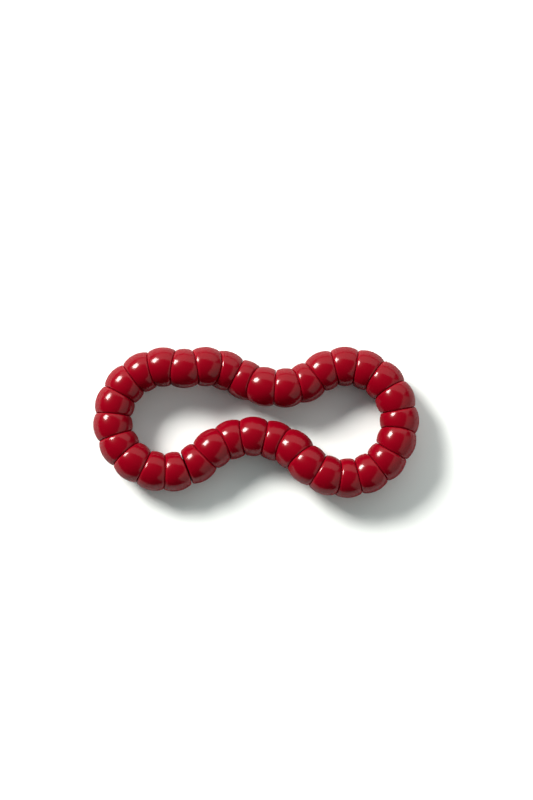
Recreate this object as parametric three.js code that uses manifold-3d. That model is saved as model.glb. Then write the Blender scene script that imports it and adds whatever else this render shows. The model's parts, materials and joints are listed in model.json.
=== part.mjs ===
// Twist loop puzzle: a closed loop of equal wedge-shaped segments that turn on one another.
//
// Each segment is a short barrel between two flat turning faces, which lean apart by the wedge angle. A stud on
// the leading face snaps into a chamber behind the cup in the next segment's trailing face, so that neighbours
// turn about their shared face's normal and nothing else. Units are millimetres, +Z is up, and the loop lies
// along X with its lowest point at Z = 0.

import * as THREE from 'three';
import { mergeVertices } from 'three/addons/utils/BufferGeometryUtils.js';
import Module from 'manifold-3d';

// Segment
const WEDGE_ANGLE = 24;          // degrees between a segment's two turning faces
const PITCH = 12;                // length along the centre line, from seam to seam
const SHOULDER_RADIUS = 10.05;   // barrel where the edge rounding starts
const FACE_RADIUS = 9.3;         // flat turning face
const SHOULDER_AT = 0.88;        // place of the shoulder, as a share of the way from middle to face
const BULGE_RADIUS = 15;         // curve of the barrel's side between its shoulders
const FACE_GAP = 0.3;            // running gap between two turning faces

// Snap joint, with depths measured from the seam
const CUP_RADIUS = 8;
const CUP_DEPTH = 5;
const CHAMBER_RADIUS = 3.2;
const CHAMBER_TOP = 6.3;
const CHAMBER_DEPTH = 8.4;
const STUD_RADIUS = 1.95;
const STUD_NECK = 5.6;
const HEAD_RADIUS = 2.7;
const HEAD_TOP = 6.9;
const STUD_TIP_RADIUS = 1.7;
const STUD_LENGTH = 8;
const PIVOT_CLEARANCE = 0.45;    // between the stud's neck and the chamber's mouth

// Loop
const FACING = [                 // degrees: where each segment's thick side points, 0 out of the loop,
                                 // 90 up, 180 into the loop and -90 down
  -15, 135, -135, 150, -120, 165,
  30, 15, -30, 0, -15, 30, -30, 30, 0, -15, 0, 0,
  -150, 150, 135, -105, -45, 30, 150,
  15, -15, -15, 0, 0, -15, 15, 0, -15,
];
const START_HEADING = 22;        // degrees: direction of the centre line at the first seam, seen from above
const OPEN_GAP = 1.5;            // between the last segment and the first, where the loop is opened

// Look
const RED = 0xa5001e;
const GLOSS = 0.18;
const OUTER_SIDES = 18;
const INNER_SIDES = 9;

const UP = new THREE.Vector3(0, 0, 1);
const LEAN = THREE.MathUtils.degToRad(WEDGE_ANGLE / 2);

const wasm = await Module();
wasm.setup();

// The loop's centre line

function nextSeam({ point, normal }, facing) {
  const outward = new THREE.Vector3().crossVectors(normal, UP).normalize();
  const rise = new THREE.Vector3().crossVectors(outward, normal);
  const thick = outward.multiplyScalar(Math.cos(facing)).addScaledVector(rise, Math.sin(facing));
  const turned = normal.clone().multiplyScalar(Math.cos(2 * LEAN)).addScaledVector(thick, -Math.sin(2 * LEAN));
  const along = normal.clone().add(turned).normalize();
  return { point: point.clone().addScaledVector(along, PITCH), normal: turned };
}

function walk(facings) {
  const heading = THREE.MathUtils.degToRad(START_HEADING);
  const start = { point: new THREE.Vector3(), normal: new THREE.Vector3(Math.cos(heading), Math.sin(heading), 0) };
  return facings.reduce((seams, facing) => [...seams, nextSeam(seams.at(-1), facing)], [start]);
}

function closingError(facings) {
  const seams = walk(facings);
  const [first, last] = [seams[0], seams.at(-1)];
  const side = new THREE.Vector3().crossVectors(first.normal, UP);
  const miss = last.point.clone().sub(first.point).addScaledVector(first.normal, OPEN_GAP - FACE_GAP);
  return [...miss.divideScalar(PITCH).toArray(), last.normal.dot(side), last.normal.dot(UP)];
}

function solveLinear(matrix, right) {
  const rows = matrix.map((row, i) => [...row, right[i]]);
  rows.forEach((pivotRow, i) => {
    const best = rows.slice(i).reduce((a, b) => (Math.abs(b[i]) > Math.abs(a[i]) ? b : a));
    rows[rows.indexOf(best)] = rows[i];
    rows[i] = best;
    rows.forEach((row, j) => {
      const factor = row[i] / best[i];
      if (j !== i) rows[j] = row.map((value, k) => value - factor * best[k]);
    });
  });
  return rows.map((row, i) => row.at(-1) / row[i]);
}

// The smallest changes to the facings that bring the last face square before the first, at the open gap.
function closeLoop(degrees) {
  let facings = degrees.map(THREE.MathUtils.degToRad);
  const step = 1e-6;
  for (let round = 0; round < 12; round += 1) {
    const miss = closingError(facings);
    const slopes = facings.map((_, i) => {
      const nudged = closingError(facings.with(i, facings[i] + step));
      return nudged.map((value, j) => (value - miss[j]) / step);
    });
    const square = miss.map((_, i) => miss.map((__, j) => slopes.reduce((sum, s) => sum + s[i] * s[j], 0)));
    const pull = solveLinear(square, miss);
    facings = facings.map((facing, i) => facing - slopes[i].reduce((sum, s, j) => sum + s * pull[j], 0));
  }
  return facings;
}

// One segment, with its middle at the origin, its centre line along Z and its thick side towards +X

function toSolid(geometry) {
  const bare = new THREE.BufferGeometry();
  bare.setAttribute('position', geometry.getAttribute('position').clone());
  bare.setIndex(geometry.getIndex());
  const merged = mergeVertices(bare, 1e-4);
  const index = merged.getIndex().array;
  const corners = [];
  for (let i = 0; i < index.length; i += 3) {
    const [a, b, c] = index.slice(i, i + 3);
    if (a !== b && b !== c && c !== a) corners.push(a, b, c);
  }
  const vertProperties = Float32Array.from(merged.getAttribute('position').array);
  return new wasm.Manifold(new wasm.Mesh({ numProp: 3, vertProperties, triVerts: Uint32Array.from(corners) }));
}

function toGeometry(solid) {
  const mesh = solid.getMesh();
  const geometry = new THREE.BufferGeometry();
  geometry.setAttribute('position', new THREE.BufferAttribute(Float32Array.from(mesh.vertProperties), 3));
  geometry.setIndex(new THREE.BufferAttribute(Uint32Array.from(mesh.triVerts), 1));
  return geometry;
}

function lathe(outline, sides) {
  const points = outline.map(([radius, height]) => new THREE.Vector2(radius, height));
  return new THREE.LatheGeometry(points, sides).rotateX(Math.PI / 2);
}

// The barrel is turned as a plain cylinder with heights from -1 to 1. Each section then bulges, the most where
// the side is longest, and is moved along the centre line and leaned.
function barrel() {
  const geometry = lathe([
    [0, -1], [FACE_RADIUS, -1], [SHOULDER_RADIUS, -SHOULDER_AT], [SHOULDER_RADIUS, 0],
    [SHOULDER_RADIUS, SHOULDER_AT], [FACE_RADIUS, 1], [0, 1],
  ], OUTER_SIDES);
  const halfLength = (PITCH - FACE_GAP / Math.cos(LEAN)) / 2;
  const places = geometry.getAttribute('position');
  for (let i = 0; i < places.count; i += 1) {
    const [x, y, share] = [places.getX(i), places.getY(i), places.getZ(i)];
    const reach = SHOULDER_AT * (halfLength + x * Math.tan(LEAN));
    const bulge = Math.max(0, 1 - (share / SHOULDER_AT) ** 2) * reach ** 2 / (2 * BULGE_RADIUS);
    const swell = 1 + bulge / SHOULDER_RADIUS;
    const lean = share * LEAN;
    places.setXYZ(i, x * swell * Math.cos(lean), y * swell, share * halfLength + x * swell * Math.sin(lean));
  }
  return toSolid(geometry);
}

function cupAndChamber() {
  const mouth = STUD_RADIUS + PIVOT_CLEARANCE;
  const outline = [
    [0, -1], [CUP_RADIUS, -1], [CUP_RADIUS, CUP_DEPTH], [mouth, CUP_DEPTH],
    [CHAMBER_RADIUS, CHAMBER_TOP], [CHAMBER_RADIUS, CHAMBER_DEPTH], [0, CHAMBER_DEPTH],
  ];
  return toSolid(lathe(outline, INNER_SIDES).rotateY(LEAN).translate(0, 0, -PITCH / 2));
}

function stud() {
  const outline = [
    [0, -1], [STUD_RADIUS, -1], [STUD_RADIUS, STUD_NECK], [HEAD_RADIUS, HEAD_TOP],
    [STUD_TIP_RADIUS, STUD_LENGTH], [0, STUD_LENGTH],
  ];
  return toSolid(lathe(outline, INNER_SIDES).rotateY(-LEAN).translate(0, 0, PITCH / 2));
}

function segmentGeometry(hasStud) {
  const body = barrel().subtract(cupAndChamber());
  return toGeometry(hasStud ? body.add(stud()) : body);
}

// The assembly

function placeSegment(mesh, entry, exit) {
  const along = exit.point.clone().sub(entry.point).normalize();
  const thick = entry.normal.clone().sub(exit.normal).normalize();
  const across = new THREE.Vector3().crossVectors(along, thick);
  mesh.quaternion.setFromRotationMatrix(new THREE.Matrix4().makeBasis(thick, across, along));
  mesh.position.copy(entry.point).add(exit.point).multiplyScalar(0.5);
}

// Turns the loop's mean plane level and puts the middle of its base at the origin.
function settle(group, seams) {
  const normal = new THREE.Vector3();
  seams.slice(1).forEach((seam, i) => normal.add(seam.point.clone().cross(seams[i].point).negate()));
  group.quaternion.setFromUnitVectors(normal.normalize(), UP);
  group.updateMatrixWorld(true);
  const box = new THREE.Box3().setFromObject(group, true);
  const middle = box.getCenter(new THREE.Vector3());
  group.position.set(-middle.x, -middle.y, -box.min.z);
}

function buildLoop() {
  const group = new THREE.Group();
  const seams = walk(closeLoop(FACING));
  const red = new THREE.MeshStandardMaterial({ color: RED, roughness: GLOSS, metalness: 0 });
  const whole = segmentGeometry(true);
  const studless = segmentGeometry(false);
  FACING.forEach((_, i) => {
    const isLast = i === FACING.length - 1;
    const mesh = new THREE.Mesh(isLast ? studless : whole, red.clone());
    mesh.name = `segment_${String(i + 1).padStart(2, '0')}`;
    placeSegment(mesh, seams[i], seams[i + 1]);
    group.add(mesh);
  });
  settle(group, seams);
  return group;
}

export default buildLoop();
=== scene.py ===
"""Looks for the twist loop puzzle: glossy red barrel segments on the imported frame, in a white studio."""

import json
import math

import bpy
from mathutils import Matrix, Vector

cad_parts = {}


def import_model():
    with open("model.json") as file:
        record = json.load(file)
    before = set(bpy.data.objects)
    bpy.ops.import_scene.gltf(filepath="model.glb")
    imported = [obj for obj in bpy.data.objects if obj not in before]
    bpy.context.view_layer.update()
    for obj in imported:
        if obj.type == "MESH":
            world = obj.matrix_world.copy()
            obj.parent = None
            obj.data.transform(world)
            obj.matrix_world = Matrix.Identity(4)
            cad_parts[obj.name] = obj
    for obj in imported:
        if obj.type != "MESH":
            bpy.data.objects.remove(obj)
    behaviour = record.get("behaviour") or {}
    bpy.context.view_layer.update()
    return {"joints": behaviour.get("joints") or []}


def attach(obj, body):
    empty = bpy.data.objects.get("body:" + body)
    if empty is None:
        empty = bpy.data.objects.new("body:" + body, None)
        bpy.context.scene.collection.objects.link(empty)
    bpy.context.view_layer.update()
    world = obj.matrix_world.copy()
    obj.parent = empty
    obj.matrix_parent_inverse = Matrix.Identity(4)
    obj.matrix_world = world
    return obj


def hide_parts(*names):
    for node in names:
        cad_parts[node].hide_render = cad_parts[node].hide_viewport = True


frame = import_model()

MM = 0.001

# Segment, in millimetres, as in the CAD except where it says otherwise
SHOULDER_RADIUS = 10.1   # the CAD's is 10.05
SHOULDER_AT = 0.88
BULGE_RADIUS = 15.0
FACE_GAP = 0.14      # the CAD's faces are 0.3 apart
CUP_RADIUS = 8.0
CUP_DEPTH = 5.0
MOUTH_RADIUS = 2.4
CHAMBER_RADIUS = 3.2
CHAMBER_TOP = 6.3
CHAMBER_DEPTH = 8.4
STUD_RADIUS = 1.95
STUD_NECK = 5.6
HEAD_RADIUS = 2.7
HEAD_TOP = 6.9
STUD_TIP_RADIUS = 1.7
STUD_LENGTH = 8.0

# Edges in more detail than the CAD's: a rounding that starts further back, and ends on a smaller flat
ROUNDING_FROM = 0.76
FLAT_RADIUS = 8.9
SEAM_REACH = 0.28    # how far each face at the loop's opened seam stands out towards the other
SEAM_TIP = 0.45      # and how much further at the top of the one face and the foot of the other
OPEN_EASE = 3        # power by which the barrel's side comes out to such a face

CORNER_CUT = 0.25          # how much of each edge the softened corners of stud and cup take
CORNER_CUT_SHARE = 0.4     # and the share of a short edge that they take at most
CENTRE_RADIUS = 0.05       # of the small discs that close the chamber's bottom and the stud's tip

# Fineness of the segment's mesh
SIDES = 72
BARREL_STEPS = 18
ROUNDING_STEPS = 7

# Camera: nearly overhead, and leaning a little towards the loop's near left
CAMERA_DISTANCE = 1.373
CAMERA_LENS = 108.9
CAMERA_AIM = (0.00585, 0.0133, 0.0)
CAMERA_LEAN_NEAR = math.radians(4.35)
CAMERA_LEAN_LEFT = math.radians(1.02)
CAMERA_ROLL = math.radians(0.14)

joints = frame["joints"]
pitch = (Vector(joints[1]["pos_m"]) - Vector(joints[0]["pos_m"])).length / MM
lean = Vector(joints[0]["axis"]).angle(Vector(joints[1]["axis"])) / 2


# Where each segment is: the seams between the segments are the joints' places and axes


def opening_normal(first, last):
    """The normal at the opening, which is one wedge away from both neighbouring seams' normals."""
    wedge_cos = math.cos(2 * lean)
    middle = (first[1] + last[1]) * wedge_cos / (1 + first[1].dot(last[1]))
    aside = first[1].cross(last[1]).normalized() * math.sqrt(1 - middle.length_squared)

    def sideways_miss(normal):
        gap = before(first, normal) - after(last, normal)
        return (gap - normal * gap.dot(normal)).length

    return min((middle + aside, middle - aside), key=sideways_miss)


def before(seam, normal):
    """The point of the seam with this normal that comes just before a seam."""
    return seam[0] - (seam[1] + normal).normalized() * pitch * MM


def after(seam, normal):
    return seam[0] + (seam[1] + normal).normalized() * pitch * MM


def all_seams():
    seams = [(Vector(j["pos_m"]), Vector(j["axis"]).normalized()) for j in joints]
    normal = opening_normal(seams[0], seams[-1])
    return [(before(seams[0], normal), normal), *seams, (after(seams[-1], normal), normal)]


def placing(entry, leaving):
    """A segment's own axes: Z along its centre line and X towards its thick side."""
    along = (leaving[0] - entry[0]).normalized()
    thick = (entry[1] - leaving[1]).normalized()
    turn = Matrix((thick, along.cross(thick), along)).transposed().to_4x4()
    return Matrix.Translation((entry[0] + leaving[0]) / 2) @ turn


# One segment's mesh, in rings from the bottom of its chamber round the barrel to the tip of its stud


def angles():
    return [2 * math.pi * i / SIDES for i in range(SIDES)]


def softened(outline):
    """The outline with each inner corner cut into three points, so that it catches the light."""
    points = [outline[0]]
    for before_it, corner, after_it in zip(outline, outline[1:], outline[2:]):
        here = Vector(corner)
        back = Vector(before_it) - here
        ahead = Vector(after_it) - here
        start = here + back.normalized() * min(CORNER_CUT, back.length * CORNER_CUT_SHARE)
        end = here + ahead.normalized() * min(CORNER_CUT, ahead.length * CORNER_CUT_SHARE)
        points += [tuple(start), tuple((start + end) * 0.25 + here * 0.5), tuple(end)]
    return points + [outline[-1]]


class Shape:
    """A segment. One of its faces may be at the loop's opening, where it stands out further than usual."""

    def __init__(self, open_side=0, up=Vector(), has_stud=True):
        self.half = (pitch - FACE_GAP / math.cos(lean)) / 2
        self.open_side = open_side
        self.up = up
        self.has_stud = has_stud

    def stand_out(self, side, x, y):
        """How far a face stands out here. The opened seam leans, so that it shows less of the floor."""
        if side != self.open_side:
            return 0.0
        return SEAM_REACH + SEAM_TIP * side * (x * self.up.x + y * self.up.y) / SHOULDER_RADIUS

    def point(self, share, radius, angle):
        """A point of the section at this share of the way from the middle to a face. Near an open face the
        section moves out with it."""
        across = radius * math.cos(angle)
        tilt = share * lean
        y = radius * math.sin(angle)
        side = 1 if share > 0 else -1
        length = self.half + self.stand_out(side, across, y) * abs(share) ** OPEN_EASE
        return Vector((across * math.cos(tilt), y, share * length + across * math.sin(tilt)))

    def side_reach(self, angle):
        return SHOULDER_AT * (self.half + SHOULDER_RADIUS * math.cos(angle) * math.tan(lean))

    def side_radius(self, share, angle):
        rise = self.side_reach(angle) ** 2 / (2 * BULGE_RADIUS)
        return SHOULDER_RADIUS + rise * (1 - (share / SHOULDER_AT) ** 2)

    def barrel_ring(self, share):
        return [self.point(share, self.side_radius(share, a), a) for a in angles()]

    def rounding_ring(self, side, t):
        """From the side (t = 0) to the flat face (t = 1), leaving each along its own direction."""
        points = []
        step = 0.01
        for a in angles():
            radius = self.side_radius(ROUNDING_FROM, a)
            slope = (radius - self.side_radius(ROUNDING_FROM - step, a)) / step
            start = self.point(side * ROUNDING_FROM, radius, a)
            corner = self.point(side, radius + slope * (1 - ROUNDING_FROM), a)
            end = self.point(side, FLAT_RADIUS, a)
            points.append(start * (1 - t) ** 2 + corner * 2 * t * (1 - t) + end * t * t)
        return points

    def joint_ring(self, side, radius, height):
        """A circle about a seam's normal, its height measured from the seam in the direction of travel."""
        centre = Vector((0, 0, side * pitch / 2))
        normal = Vector((-side * math.sin(lean), 0, math.cos(lean)))
        across = Vector((math.cos(lean), 0, side * math.sin(lean)))
        on_face = max(0, 1 - (abs(height) - FACE_GAP / 2) / CUP_DEPTH)   # 1 on the face, 0 deep inside
        points = []
        for a in angles():
            x, y = radius * math.cos(a), radius * math.sin(a)
            lift = height + side * on_face * self.stand_out(side, x, y)
            points.append(centre + normal * lift + across * x + Vector((0, y, 0)))
        return points

    def cup_outline(self):
        face = FACE_GAP / 2
        return [
            (CENTRE_RADIUS, CHAMBER_DEPTH), (CHAMBER_RADIUS, CHAMBER_DEPTH), (CHAMBER_RADIUS, CHAMBER_TOP),
            (MOUTH_RADIUS, CUP_DEPTH), (CUP_RADIUS, CUP_DEPTH), (CUP_RADIUS, face), (FLAT_RADIUS, face),
        ]

    def leading_outline(self):
        face = -FACE_GAP / 2
        if not self.has_stud:
            return [(FLAT_RADIUS, face), (CUP_RADIUS / 2, face), (CENTRE_RADIUS, face)]
        return [
            (FLAT_RADIUS, face), (STUD_RADIUS, face), (STUD_RADIUS, STUD_NECK), (HEAD_RADIUS, HEAD_TOP),
            (STUD_TIP_RADIUS, STUD_LENGTH), (CENTRE_RADIUS, STUD_LENGTH),
        ]

    def rings(self):
        """Each ring's points, 1 if it is the joint's and 0 if not, and how far round the rim it is."""
        steps = [i / ROUNDING_STEPS for i in range(ROUNDING_STEPS)]
        shares = [ROUNDING_FROM * (2 * i / BARREL_STEPS - 1) for i in range(BARREL_STEPS + 1)]
        found = [(self.joint_ring(-1, r, h), 1, 0.0) for r, h in softened(self.cup_outline())[:-1]]
        found += [(self.rounding_ring(-1, 1 - t), 0, 1 - t) for t in steps]
        found += [(self.barrel_ring(share), 0, 0.0) for share in shares]
        found += [(self.rounding_ring(1, 1 - t), 0, 1 - t) for t in reversed(steps)]
        found += [(self.joint_ring(1, r, h), 1, 0.0) for r, h in softened(self.leading_outline())[1:]]
        return found


def segment_mesh(name, rings, place, materials):
    """The segment's mesh where it lies. Each vertex's place on the segment is kept for the materials."""
    last = (len(rings) - 1) * SIDES
    faces = [tuple(reversed(range(SIDES)))]
    inside = [1]
    for i in range(len(rings) - 1):
        for k in range(SIDES):
            following = (k + 1) % SIDES
            low, high = i * SIDES, (i + 1) * SIDES
            faces.append((low + k, low + following, high + following, high + k))
            inside.append(max(rings[i][1], rings[i + 1][1]))
    faces.append(tuple(range(last, last + SIDES)))
    inside.append(1)
    mesh = bpy.data.meshes.new(name)
    own = [point * MM for points, _, _ in rings for point in points]
    mesh.from_pydata([place @ point for point in own], [], faces)
    mesh.polygons.foreach_set("use_smooth", [True] * len(faces))
    mesh.polygons.foreach_set("material_index", inside)
    # How far round the rounded rim each vertex is; the gloss material lightens the rims by it, partly as
    # wear and partly as a painted highlight.
    rim = [rounding_share for points, _, rounding_share in rings for _ in points]
    mesh.attributes.new("rim", "FLOAT", "POINT").data.foreach_set("value", rim)
    own_values = [value for point in own for value in point]
    mesh.attributes.new("own", "FLOAT_VECTOR", "POINT").data.foreach_set("vector", own_values)
    for material in materials:
        mesh.materials.append(material)
    mesh.update()
    return mesh


# Materials

MIX_FACTOR, MIX_A, MIX_B, MIX_RESULT = 0, 6, 7, 2   # a colour Mix node's own sockets
MARKS_SHIFT = 3.0   # the most that a segment's marks are moved from those of the others, in metres


class Nodes:
    """Short calls for building a material's node tree."""

    def __init__(self, name):
        self.material = bpy.data.materials.new(name)
        self.material.use_nodes = True
        self.tree = self.material.node_tree
        self.tree.nodes.clear()

    def add(self, kind, inputs=None, **settings):
        node = self.tree.nodes.new("ShaderNode" + kind)
        for key, value in settings.items():
            setattr(node, key, value)
        for key, value in (inputs or {}).items():
            if isinstance(value, bpy.types.NodeSocket):
                self.tree.links.new(value, node.inputs[key])
            else:
                node.inputs[key].default_value = value
        return node

    def math(self, operation, a, b):
        return self.add("Math", {0: a, 1: b}, operation=operation).outputs[0]

    def mix(self, factor, a, b):
        node = self.add("Mix", {MIX_FACTOR: factor, MIX_A: a, MIX_B: b}, data_type="RGBA")
        return node.outputs[MIX_RESULT]

    def spread(self, factor, low, high):
        """factor from 0 to 1, turned into a value from low to high."""
        return self.add("MapRange", {"Value": factor, "To Min": low, "To Max": high}).outputs[0]

    def place(self):
        """The segment's own coordinates, shifted so that no two segments carry the same marks."""
        own = self.add("Attribute", attribute_name="own").outputs["Vector"]
        shift = self.math("MULTIPLY", self.add("ObjectInfo").outputs["Random"], MARKS_SHIFT)
        return self.add("VectorMath", {0: own, 1: shift}, operation="ADD").outputs[0]

    def noise(self, place, scale, detail=2.0, roughness=0.5):
        inputs = {"Vector": place, "Scale": scale, "Detail": detail, "Roughness": roughness}
        return self.add("TexNoise", inputs).outputs["Fac"]

    def stretched(self, place, scale):
        return self.add("Mapping", {"Vector": place, "Scale": scale}).outputs[0]

    def finish(self, surface):
        output = self.add("OutputMaterial")
        self.tree.links.new(surface, output.inputs["Surface"])
        return self.material


RED = (0.164, 0.0001, 0.0054, 1)
RED_PALE = (0.18, 0.0002, 0.0061, 1)
RED_DEEP = (0.148, 0.0001, 0.0046, 1)
# The rubbed rims' colour and its share below: partly wear, partly a painted highlight that lightens the
# rounded edges beside the seams.
RED_WORN_AND_HIGHLIGHT = (0.45, 0.012, 0.025, 1)
WORN_AND_HIGHLIGHT_SHARE = 0.4          # of the rim colour, partly wear and partly a painted highlight, on the most rubbed rim
WORN_ROUGHNESS = 0.16     # added there
PLASTIC_IOR = 1.5
GLOSS_LEVEL = 0.08        # of the pigmented plastic, seen from the front
COAT_WEIGHT = 0.44        # of the polish on it, seen from the front
COAT_ROUGHNESS = 0.135
FLOOR_LIGHT = (0.79, 0.83, 0.83, 1)
FLOOR_DARK = (0.77, 0.81, 0.81, 1)


def gloss_red():
    """Polished moulded plastic: flow in the pigment, orange peel, hairlines, and rubbed rims whose lighter
    colour is partly wear and partly a painted highlight.
    """
    n = Nodes("red_gloss")
    place = n.place()
    flow = n.noise(place, scale=70.0, detail=3.0, roughness=0.55)
    rim = n.add("Attribute", attribute_name="rim").outputs["Fac"]
    # Rims lighter towards the seams, in patches: partly rubbing wear, partly a painted highlight; the same
    # mask also roughens them.
    rub_and_highlight = n.math("MULTIPLY", rim, n.spread(n.noise(place, scale=420.0, detail=4.0), 0.1, 0.9))
    colour = n.mix(n.math("MULTIPLY", rub_and_highlight, WORN_AND_HIGHLIGHT_SHARE), n.mix(flow, RED_DEEP, RED_PALE), RED_WORN_AND_HIGHLIGHT)
    hairlines = n.noise(n.stretched(place, (1.0, 14.0, 1.0)), scale=330.0, detail=5.0, roughness=0.7)
    smudges = n.noise(place, scale=120.0)
    rough = n.math("ADD", n.spread(hairlines, 0.19, 0.25), n.spread(smudges, 0.0, 0.06))
    rough = n.math("ADD", rough, n.math("MULTIPLY", rub_and_highlight, WORN_ROUGHNESS))
    peel = n.add("Bump", {"Strength": 0.10, "Distance": 0.0001, "Height": n.noise(place, scale=520.0)})
    scratches = n.noise(n.stretched(place, (22.0, 1.0, 1.6)), scale=260.0, detail=6.0, roughness=0.75)
    fine = n.add("Bump", {
        "Strength": 0.05, "Distance": 0.00003, "Height": scratches, "Normal": peel.outputs[0],
    }).outputs[0]
    facing = n.add("LayerWeight", {"Blend": 0.5}).outputs["Facing"]
    frontal = n.math("SUBTRACT", 1.0, facing)   # the gloss gets weaker towards the rims
    shader = n.add("BsdfPrincipled", {
        "Base Color": colour, "Roughness": rough, "IOR": PLASTIC_IOR, "Normal": fine,
        "Specular IOR Level": n.math("MULTIPLY", n.math("POWER", frontal, 2.0), GLOSS_LEVEL),
        "Coat Weight": n.math("MULTIPLY", n.math("POWER", frontal, 0.7), COAT_WEIGHT),
        "Coat Roughness": COAT_ROUGHNESS, "Coat Normal": fine,
    })
    return n.finish(shader.outputs[0])


def rubbed_red():
    """The faces, cup and stud: the same plastic from a duller mould, with rings rubbed by turning."""
    n = Nodes("red_rubbed")
    grain = n.noise(n.place(), scale=900.0, detail=3.0)
    own = n.add("Attribute", attribute_name="own").outputs["Vector"]
    waves = {"Vector": own, "Scale": 350.0, "Distortion": 2.0, "Detail": 3.0}
    rings = n.add("TexWave", waves, wave_type="RINGS", rings_direction="Z").outputs["Fac"]
    rough = n.math("ADD", n.spread(grain, 0.30, 0.42), n.spread(rings, -0.06, 0.06))
    relief = n.math("ADD", grain, rings)
    bump = n.add("Bump", {"Strength": 0.15, "Distance": 0.00004, "Height": relief})
    shader = n.add("BsdfPrincipled", {
        "Base Color": n.mix(grain, RED_DEEP, RED), "Roughness": rough, "IOR": PLASTIC_IOR,
        "Normal": bump.outputs[0],
    })
    return n.finish(shader.outputs[0])


def white_floor():
    n = Nodes("white_floor")
    tone = n.noise(n.add("TexCoord").outputs["Object"], scale=3.0)
    colour = n.mix(tone, FLOOR_DARK, FLOOR_LIGHT)
    shader = n.add("BsdfPrincipled", {"Base Color": colour, "Roughness": 0.9, "Specular IOR Level": 0.1})
    return n.finish(shader.outputs[0])


# The pieces


def build_segments():
    materials = [gloss_red(), rubbed_red()]
    whole = Shape().rings()
    seams = all_seams()
    count = len(seams) - 1
    for i in range(count):
        number = f"{i + 1:02d}"
        place = placing(seams[i], seams[i + 1])
        up = place.to_3x3().transposed() @ Vector((0, 0, 1))
        rings = whole
        if i == 0:
            rings = Shape(open_side=-1, up=up).rings()
        if i == count - 1:
            rings = Shape(open_side=1, up=up, has_stud=False).rings()
        mesh = segment_mesh(f"barrel_{number}", rings, place, materials)
        piece = bpy.data.objects.new(f"barrel_{number}", mesh)
        bpy.context.scene.collection.objects.link(piece)
        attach(piece, f"link_{number}")
        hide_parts(f"segment_{number}")


# The studio: angles in degrees, lengths in metres

FLOOR_REACH = 4.0
WORLD_COLOUR = (0.74, 1.0, 1.0, 1)
WORLD_STRENGTH = 0.12
SENSOR_WIDTH = 36
CLIP_END = 50


def direction(azimuth, elevation):
    a, e = math.radians(azimuth), math.radians(elevation)
    return Vector((math.cos(e) * math.cos(a), math.cos(e) * math.sin(a), math.sin(e)))


def panel(name, azimuth, elevation, distance, size, radiance, colour, spread=180):
    """A rectangular soft light that faces the loop. With a radiance of 1 it looks as bright as white."""
    light = bpy.data.lights.new(name, "AREA")
    light.shape = "RECTANGLE"
    light.size, light.size_y = size
    light.color = colour
    light.energy = radiance * math.pi * size[0] * size[1]
    light.spread = math.radians(spread)
    lamp = bpy.data.objects.new(name, light)
    bpy.context.scene.collection.objects.link(lamp)
    lamp.location = direction(azimuth, elevation) * distance
    lamp.rotation_euler = direction(azimuth, elevation).to_track_quat("Z", "Y").to_euler()
    lamp.visible_camera = False
    return lamp


def add_floor():
    mesh = bpy.data.meshes.new("floor")
    far = FLOOR_REACH
    corners = [(-far, -far, 0), (far, -far, 0), (far, far, 0), (-far, far, 0)]
    mesh.from_pydata(corners, [], [(0, 1, 2, 3)])
    mesh.materials.append(white_floor())
    floor = bpy.data.objects.new("floor", mesh)
    bpy.context.scene.collection.objects.link(floor)


def add_lights():
    panel("key", azimuth=138, elevation=36, distance=2.4, size=(0.95, 0.8), radiance=5.0,
          colour=(1.0, 0.96, 0.91), spread=50)
    panel("back_panel", azimuth=78, elevation=29, distance=1.5, size=(2.7, 1.2), radiance=1.36,
          colour=(1.0, 0.95, 0.91))
    panel("right_panel", azimuth=-22, elevation=28, distance=1.5, size=(2.2, 1.45), radiance=0.95,
          colour=(1.0, 0.88, 0.80))
    fill = panel("fill", azimuth=54, elevation=69, distance=1.5, size=(2.6, 2.0), radiance=0.35,
                 colour=(0.9, 1.0, 1.0))
    fill.visible_glossy = False
    world = bpy.data.worlds.new("room")
    world.use_nodes = True
    background = world.node_tree.nodes["Background"]
    background.inputs["Color"].default_value = WORLD_COLOUR
    background.inputs["Strength"].default_value = WORLD_STRENGTH
    world.cycles_visibility.glossy = False
    bpy.context.scene.world = world


def add_camera():
    data = bpy.data.cameras.new("camera")
    data.lens = CAMERA_LENS
    data.sensor_width = SENSOR_WIDTH
    data.clip_end = CLIP_END
    camera = bpy.data.objects.new("camera", data)
    bpy.context.scene.collection.objects.link(camera)
    turn = Matrix.Rotation(-CAMERA_LEAN_NEAR, 4, "X") @ Matrix.Rotation(CAMERA_LEAN_LEFT, 4, "Y")
    turn = Matrix.Rotation(CAMERA_ROLL, 4, "Z") @ turn.inverted()
    back_off = Matrix.Translation((0, 0, CAMERA_DISTANCE))
    camera.matrix_world = Matrix.Translation(CAMERA_AIM) @ turn @ back_off
    bpy.context.scene.camera = camera


add_camera()
build_segments()
add_floor()
add_lights()
bpy.context.scene.view_settings.view_transform = "Standard"
